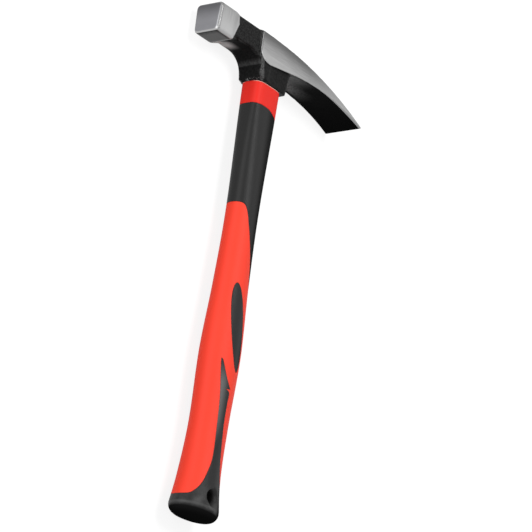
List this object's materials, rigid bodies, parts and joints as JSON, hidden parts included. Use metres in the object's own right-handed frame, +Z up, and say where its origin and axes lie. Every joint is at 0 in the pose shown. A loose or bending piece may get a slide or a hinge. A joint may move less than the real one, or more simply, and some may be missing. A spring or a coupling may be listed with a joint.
{
  "type": "bricklayer's hammer",
  "caption": "Mason's hammer: forged steel head with square striking face and curved cutting blade, on a fibre-cored plastic handle with soft red grip and collar and a hanging hole.",
  "frame": {"origin": "middle of the footprint of the hammer lying on its side, on the surface it lies on", "axes": "+Y along the handle from the butt to the head, +X from the striking face to the blade, +Z up across the hammer"},
  "size_m": [0.1582, 0.3332, 0.0304],
  "materials": {
    "forged_steel": "ground face and cheeks, black lacquer elsewhere",
    "resin": "cast, satin",
    "fibreglass": "sawn end grain",
    "black_plastic": "satin moulded",
    "collar_rubber": "matte moulded",
    "grip_rubber": "matte, finely textured"
  },
  "bodies": {
    "root": {"hammer_head": "forged_steel", "eye_resin": "resin", "fibreglass_core": "fibreglass", "handle_jacket": "black_plastic", "neck_collar": "collar_rubber", "grip_skin": "grip_rubber"}
  },
  "joints": []
}
